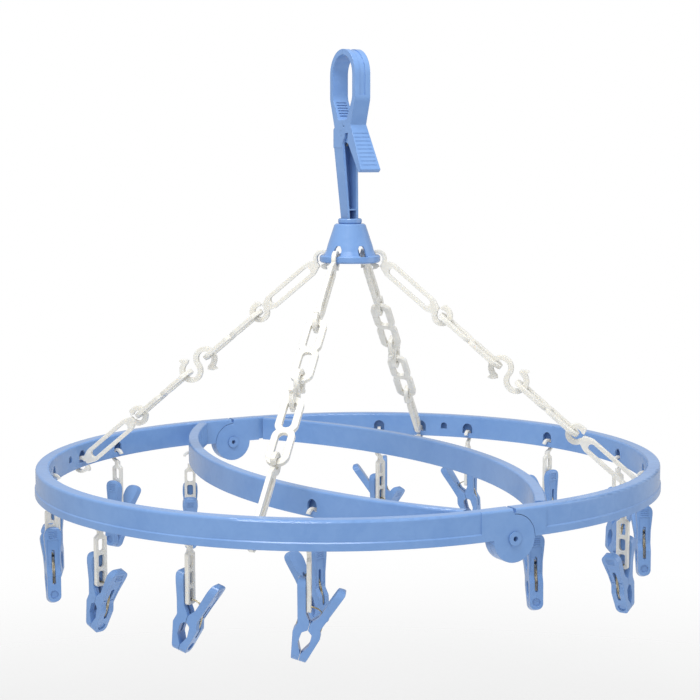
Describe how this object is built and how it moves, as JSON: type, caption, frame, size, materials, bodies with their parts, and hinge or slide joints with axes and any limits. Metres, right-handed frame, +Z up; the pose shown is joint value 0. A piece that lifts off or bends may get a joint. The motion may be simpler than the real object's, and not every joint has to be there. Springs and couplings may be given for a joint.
{
  "type": "clip drying hanger",
  "caption": "Folding oval drying hanger with a sprung pole clamp, swivelling bell, link chains and clothes clips on ladder straps.",
  "frame": {"origin": "centre of the pole clamp's circle", "axes": "+Z up, Y along the ring's fold line with the thumb lever towards -Y, X across the fold line and along the clamp's axis"},
  "size_m": [0.5276, 0.4906, 0.4445],
  "materials": {
    "blue_plastic": "moulded polypropylene, soft sheen",
    "milky_plastic": "milky translucent moulded polypropylene",
    "spring_steel": "plated spring wire"
  },
  "bodies": {
    "clamp_stem": {"hook_stem": "blue_plastic", "hook_spring": "spring_steel"},
    "clamp_lever": {"hook_lever": "blue_plastic"},
    "bell": {"hub_bell": "blue_plastic"},
    "hinge_line": {"rivet_front": "blue_plastic", "rivet_back": "blue_plastic"},
    "left_half": {"frame_left": "blue_plastic"},
    "right_half": {"frame_right": "blue_plastic"},
    "chain_left_front_links": {"chain_left_front": "milky_plastic"},
    "chain_left_back_links": {"chain_left_back": "milky_plastic"},
    "chain_right_front_links": {"chain_right_front": "milky_plastic"},
    "chain_right_back_links": {"chain_right_back": "milky_plastic"},
    "hanging_clip_01": {"strap_01": "milky_plastic", "clip_01_held_jaw": "blue_plastic"},
    "free_jaw_01": {"clip_01_free_jaw": "blue_plastic"},
    "hanging_clip_02": {"strap_02": "milky_plastic", "clip_02_held_jaw": "blue_plastic"},
    "free_jaw_02": {"clip_02_free_jaw": "blue_plastic"},
    "hanging_clip_03": {"strap_03": "milky_plastic", "clip_03_held_jaw": "blue_plastic"},
    "free_jaw_03": {"clip_03_free_jaw": "blue_plastic"},
    "hanging_clip_04": {"strap_04": "milky_plastic", "clip_04_held_jaw": "blue_plastic"},
    "free_jaw_04": {"clip_04_free_jaw": "blue_plastic"},
    "hanging_clip_05": {"strap_05": "milky_plastic", "clip_05_held_jaw": "blue_plastic"},
    "free_jaw_05": {"clip_05_free_jaw": "blue_plastic"},
    "hanging_clip_06": {"strap_06": "milky_plastic", "clip_06_held_jaw": "blue_plastic"},
    "free_jaw_06": {"clip_06_free_jaw": "blue_plastic"},
    "hanging_clip_07": {"strap_07": "milky_plastic", "clip_07_held_jaw": "blue_plastic"},
    "free_jaw_07": {"clip_07_free_jaw": "blue_plastic"},
    "hanging_clip_08": {"strap_08": "milky_plastic", "clip_08_held_jaw": "blue_plastic"},
    "free_jaw_08": {"clip_08_free_jaw": "blue_plastic"},
    "hanging_clip_09": {"strap_09": "milky_plastic", "clip_09_held_jaw": "blue_plastic"},
    "free_jaw_09": {"clip_09_free_jaw": "blue_plastic"},
    "hanging_clip_10": {"strap_10": "milky_plastic", "clip_10_held_jaw": "blue_plastic"},
    "free_jaw_10": {"clip_10_free_jaw": "blue_plastic"},
    "hanging_clip_11": {"strap_11": "milky_plastic", "clip_11_held_jaw": "blue_plastic"},
    "free_jaw_11": {"clip_11_free_jaw": "blue_plastic"},
    "hanging_clip_12": {"strap_12": "milky_plastic", "clip_12_held_jaw": "blue_plastic"},
    "free_jaw_12": {"clip_12_free_jaw": "blue_plastic"},
    "hanging_clip_13": {"strap_13": "milky_plastic", "clip_13_held_jaw": "blue_plastic"},
    "free_jaw_13": {"clip_13_free_jaw": "blue_plastic"},
    "hanging_clip_14": {"strap_14": "milky_plastic", "clip_14_held_jaw": "blue_plastic"},
    "free_jaw_14": {"clip_14_free_jaw": "blue_plastic"},
    "hanging_clip_15": {"strap_15": "milky_plastic", "clip_15_held_jaw": "blue_plastic"},
    "free_jaw_15": {"clip_15_free_jaw": "blue_plastic"},
    "hanging_clip_16": {"strap_16": "milky_plastic", "clip_16_held_jaw": "blue_plastic"},
    "free_jaw_16": {"clip_16_free_jaw": "blue_plastic"}
  },
  "joints": [
    {"name": "clamp_open", "type": "hinge", "parent": "clamp_stem", "child": "clamp_lever", "pos_m": [0, 0.0026, -0.0476], "axis": [1, 0, 0], "range_deg": [0, 18], "stiffness_Nm_per_rad": 0.2, "springref_deg": -14.32},
    {"name": "bell_swivel", "type": "hinge", "parent": "clamp_stem", "child": "bell", "pos_m": [0, 0, -0.124], "axis": [0, 0, 1], "continuous": true},
    {"name": "ring_rise", "type": "slide", "parent": "bell", "child": "hinge_line", "axis": [0, 0, 1], "range_m": [0, 0.1036]},
    {"name": "right_fold", "type": "hinge", "parent": "hinge_line", "child": "right_half", "pos_m": [0, 0, -0.341], "axis": [0, 1, 0], "range_deg": [0, 55], "deforming": ["chain_left_front", "chain_left_back", "chain_right_front", "chain_right_back"]},
    {"name": "left_fold", "type": "hinge", "parent": "hinge_line", "child": "left_half", "pos_m": [0, 0, -0.341], "axis": [0, 1, 0], "range_deg": [-55, 0]},
    {"name": "chain_left_front_swing", "type": "hinge", "parent": "bell", "child": "chain_left_front_links", "pos_m": [-0.02001, -0.01155, -0.1515], "axis": [0, 1, 0], "range_deg": [-19.79, 0]},
    {"name": "chain_left_back_swing", "type": "hinge", "parent": "bell", "child": "chain_left_back_links", "pos_m": [-0.02001, 0.01155, -0.1515], "axis": [0, 1, 0], "range_deg": [-19.79, 0]},
    {"name": "chain_right_front_swing", "type": "hinge", "parent": "bell", "child": "chain_right_front_links", "pos_m": [0.02001, -0.01155, -0.1515], "axis": [0, 1, 0], "range_deg": [0, 19.79]},
    {"name": "chain_right_back_swing", "type": "hinge", "parent": "bell", "child": "chain_right_back_links", "pos_m": [0.02001, 0.01155, -0.1515], "axis": [0, 1, 0], "range_deg": [0, 19.79]},
    {"name": "strap_01_swing", "type": "hinge", "parent": "left_half", "child": "hanging_clip_01", "pos_m": [-0.14331, -0.19734, -0.3355], "axis": [0, 1, 0], "range_deg": [0, 27.5]},
    {"name": "clip_01_squeeze", "type": "hinge", "parent": "hanging_clip_01", "child": "free_jaw_01", "pos_m": [-0.14282, -0.19765, -0.395], "axis": [-0.5299, -0.848, 0], "range_deg": [0, 20], "stiffness_Nm_per_rad": 0.1, "springref_deg": -17.19},
    {"name": "strap_02_swing", "type": "hinge", "parent": "left_half", "child": "hanging_clip_02", "pos_m": [-0.20826, -0.13678, -0.3355], "axis": [0, 1, 0], "range_deg": [0, 27.5]},
    {"name": "clip_02_squeeze", "type": "hinge", "parent": "hanging_clip_02", "child": "free_jaw_02", "pos_m": [-0.20792, -0.13724, -0.395], "axis": [-0.809, -0.5878, 0], "range_deg": [0, 20], "stiffness_Nm_per_rad": 0.1, "springref_deg": -17.19},
    {"name": "strap_03_swing", "type": "hinge", "parent": "left_half", "child": "hanging_clip_03", "pos_m": [-0.24579, -0.0563, -0.3355], "axis": [0, 1, 0], "range_deg": [0, 27.5]},
    {"name": "clip_03_squeeze", "type": "hinge", "parent": "hanging_clip_03", "child": "free_jaw_03", "pos_m": [-0.24565, -0.05685, -0.395], "axis": [-0.9703, -0.2419, 0], "range_deg": [0, 20], "stiffness_Nm_per_rad": 0.1, "springref_deg": -17.19},
    {"name": "strap_04_swing", "type": "hinge", "parent": "left_half", "child": "hanging_clip_04", "pos_m": [-0.24761, 0.04838, -0.3355], "axis": [0, 1, 0], "range_deg": [0, 27.5]},
    {"name": "clip_04_squeeze", "type": "hinge", "parent": "hanging_clip_04", "child": "free_jaw_04", "pos_m": [-0.24749, 0.04895, -0.395], "axis": [0.9781, -0.2079, 0], "range_deg": [0, 20], "stiffness_Nm_per_rad": 0.1, "springref_deg": -17.19},
    {"name": "strap_05_swing", "type": "hinge", "parent": "left_half", "child": "hanging_clip_05", "pos_m": [-0.22152, 0.11635, -0.3355], "axis": [0, 1, 0], "range_deg": [0, 27.5]},
    {"name": "clip_05_squeeze", "type": "hinge", "parent": "hanging_clip_05", "child": "free_jaw_05", "pos_m": [-0.22181, 0.11585, -0.395], "axis": [-0.866, 0.5, 0], "range_deg": [0, 20], "stiffness_Nm_per_rad": 0.1, "springref_deg": -17.19},
    {"name": "strap_06_swing", "type": "hinge", "parent": "left_half", "child": "hanging_clip_06", "pos_m": [-0.12925, 0.20546, -0.3355], "axis": [0, 1, 0], "range_deg": [0, 27.5]},
    {"name": "clip_06_squeeze", "type": "hinge", "parent": "hanging_clip_06", "child": "free_jaw_06", "pos_m": [-0.12874, 0.20573, -0.395], "axis": [0.4695, -0.8829, 0], "range_deg": [0, 20], "stiffness_Nm_per_rad": 0.1, "springref_deg": -17.19},
    {"name": "strap_07_swing", "type": "hinge", "parent": "left_half", "child": "hanging_clip_07", "pos_m": [-0.09493, -0.11174, -0.3355], "axis": [0, 1, 0], "range_deg": [0, 27.5]},
    {"name": "clip_07_squeeze", "type": "hinge", "parent": "hanging_clip_07", "child": "free_jaw_07", "pos_m": [-0.09509, -0.11119, -0.395], "axis": [0.959, 0.2836, 0], "range_deg": [0, 20], "stiffness_Nm_per_rad": 0.1, "springref_deg": -17.19},
    {"name": "strap_08_swing", "type": "hinge", "parent": "left_half", "child": "hanging_clip_08", "pos_m": [-0.07732, 0.15964, -0.3355], "axis": [0, 1, 0], "range_deg": [0, 27.5]},
    {"name": "clip_08_squeeze", "type": "hinge", "parent": "hanging_clip_08", "child": "free_jaw_08", "pos_m": [-0.07755, 0.15911, -0.395], "axis": [-0.9143, 0.4051, 0], "range_deg": [0, 20], "stiffness_Nm_per_rad": 0.1, "springref_deg": -17.19},
    {"name": "strap_09_swing", "type": "hinge", "parent": "right_half", "child": "hanging_clip_09", "pos_m": [0.14331, 0.19734, -0.3355], "axis": [0, 1, 0], "range_deg": [-27.5, 0]},
    {"name": "clip_09_squeeze", "type": "hinge", "parent": "hanging_clip_09", "child": "free_jaw_09", "pos_m": [0.14282, 0.19765, -0.395], "axis": [0.5299, 0.848, 0], "range_deg": [0, 20], "stiffness_Nm_per_rad": 0.1, "springref_deg": -17.19},
    {"name": "strap_10_swing", "type": "hinge", "parent": "right_half", "child": "hanging_clip_10", "pos_m": [0.20826, 0.13678, -0.3355], "axis": [0, 1, 0], "range_deg": [-27.5, 0]},
    {"name": "clip_10_squeeze", "type": "hinge", "parent": "hanging_clip_10", "child": "free_jaw_10", "pos_m": [0.20792, 0.13724, -0.395], "axis": [0.809, 0.5878, 0], "range_deg": [0, 20], "stiffness_Nm_per_rad": 0.1, "springref_deg": -17.19},
    {"name": "strap_11_swing", "type": "hinge", "parent": "right_half", "child": "hanging_clip_11", "pos_m": [0.24579, 0.0563, -0.3355], "axis": [0, 1, 0], "range_deg": [-27.5, 0]},
    {"name": "clip_11_squeeze", "type": "hinge", "parent": "hanging_clip_11", "child": "free_jaw_11", "pos_m": [0.24565, 0.05685, -0.395], "axis": [0.9703, 0.2419, 0], "range_deg": [0, 20], "stiffness_Nm_per_rad": 0.1, "springref_deg": -17.19},
    {"name": "strap_12_swing", "type": "hinge", "parent": "right_half", "child": "hanging_clip_12", "pos_m": [0.24761, -0.04838, -0.3355], "axis": [0, 1, 0], "range_deg": [-27.5, 0]},
    {"name": "clip_12_squeeze", "type": "hinge", "parent": "hanging_clip_12", "child": "free_jaw_12", "pos_m": [0.24749, -0.04895, -0.395], "axis": [-0.9781, 0.2079, 0], "range_deg": [0, 20], "stiffness_Nm_per_rad": 0.1, "springref_deg": -17.19},
    {"name": "strap_13_swing", "type": "hinge", "parent": "right_half", "child": "hanging_clip_13", "pos_m": [0.22152, -0.11635, -0.3355], "axis": [0, 1, 0], "range_deg": [-27.5, 0]},
    {"name": "clip_13_squeeze", "type": "hinge", "parent": "hanging_clip_13", "child": "free_jaw_13", "pos_m": [0.22181, -0.11585, -0.395], "axis": [0.866, -0.5, 0], "range_deg": [0, 20], "stiffness_Nm_per_rad": 0.1, "springref_deg": -17.19},
    {"name": "strap_14_swing", "type": "hinge", "parent": "right_half", "child": "hanging_clip_14", "pos_m": [0.12925, -0.20546, -0.3355], "axis": [0, 1, 0], "range_deg": [-27.5, 0]},
    {"name": "clip_14_squeeze", "type": "hinge", "parent": "hanging_clip_14", "child": "free_jaw_14", "pos_m": [0.12874, -0.20573, -0.395], "axis": [-0.4695, 0.8829, 0], "range_deg": [0, 20], "stiffness_Nm_per_rad": 0.1, "springref_deg": -17.19},
    {"name": "strap_15_swing", "type": "hinge", "parent": "right_half", "child": "hanging_clip_15", "pos_m": [0.09493, 0.11174, -0.3355], "axis": [0, 1, 0], "range_deg": [-27.5, 0]},
    {"name": "clip_15_squeeze", "type": "hinge", "parent": "hanging_clip_15", "child": "free_jaw_15", "pos_m": [0.09509, 0.11119, -0.395], "axis": [-0.959, -0.2836, 0], "range_deg": [0, 20], "stiffness_Nm_per_rad": 0.1, "springref_deg": -17.19},
    {"name": "strap_16_swing", "type": "hinge", "parent": "right_half", "child": "hanging_clip_16", "pos_m": [0.07732, -0.15964, -0.3355], "axis": [0, 1, 0], "range_deg": [-27.5, 0]},
    {"name": "clip_16_squeeze", "type": "hinge", "parent": "hanging_clip_16", "child": "free_jaw_16", "pos_m": [0.07755, -0.15911, -0.395], "axis": [0.9143, -0.4051, 0], "range_deg": [0, 20], "stiffness_Nm_per_rad": 0.1, "springref_deg": -17.19}
  ],
  "couplings": [
    {"joint": "left_fold", "follows": "right_fold", "ratio": -1},
    {"joint": "ring_rise", "follows": "right_fold", "m_per_rad": 0.10792},
    {"joint": "chain_left_front_swing", "follows": "right_fold", "ratio": -0.35986},
    {"joint": "chain_left_back_swing", "follows": "right_fold", "ratio": -0.35986},
    {"joint": "chain_right_front_swing", "follows": "right_fold", "ratio": 0.35986},
    {"joint": "chain_right_back_swing", "follows": "right_fold", "ratio": 0.35986},
    {"joint": "strap_01_swing", "follows": "right_fold", "ratio": 0.5},
    {"joint": "strap_02_swing", "follows": "right_fold", "ratio": 0.5},
    {"joint": "strap_03_swing", "follows": "right_fold", "ratio": 0.5},
    {"joint": "strap_04_swing", "follows": "right_fold", "ratio": 0.5},
    {"joint": "strap_05_swing", "follows": "right_fold", "ratio": 0.5},
    {"joint": "strap_06_swing", "follows": "right_fold", "ratio": 0.5},
    {"joint": "strap_07_swing", "follows": "right_fold", "ratio": 0.5},
    {"joint": "strap_08_swing", "follows": "right_fold", "ratio": 0.5},
    {"joint": "strap_09_swing", "follows": "right_fold", "ratio": -0.5},
    {"joint": "strap_10_swing", "follows": "right_fold", "ratio": -0.5},
    {"joint": "strap_11_swing", "follows": "right_fold", "ratio": -0.5},
    {"joint": "strap_12_swing", "follows": "right_fold", "ratio": -0.5},
    {"joint": "strap_13_swing", "follows": "right_fold", "ratio": -0.5},
    {"joint": "strap_14_swing", "follows": "right_fold", "ratio": -0.5},
    {"joint": "strap_15_swing", "follows": "right_fold", "ratio": -0.5},
    {"joint": "strap_16_swing", "follows": "right_fold", "ratio": -0.5}
  ]
}
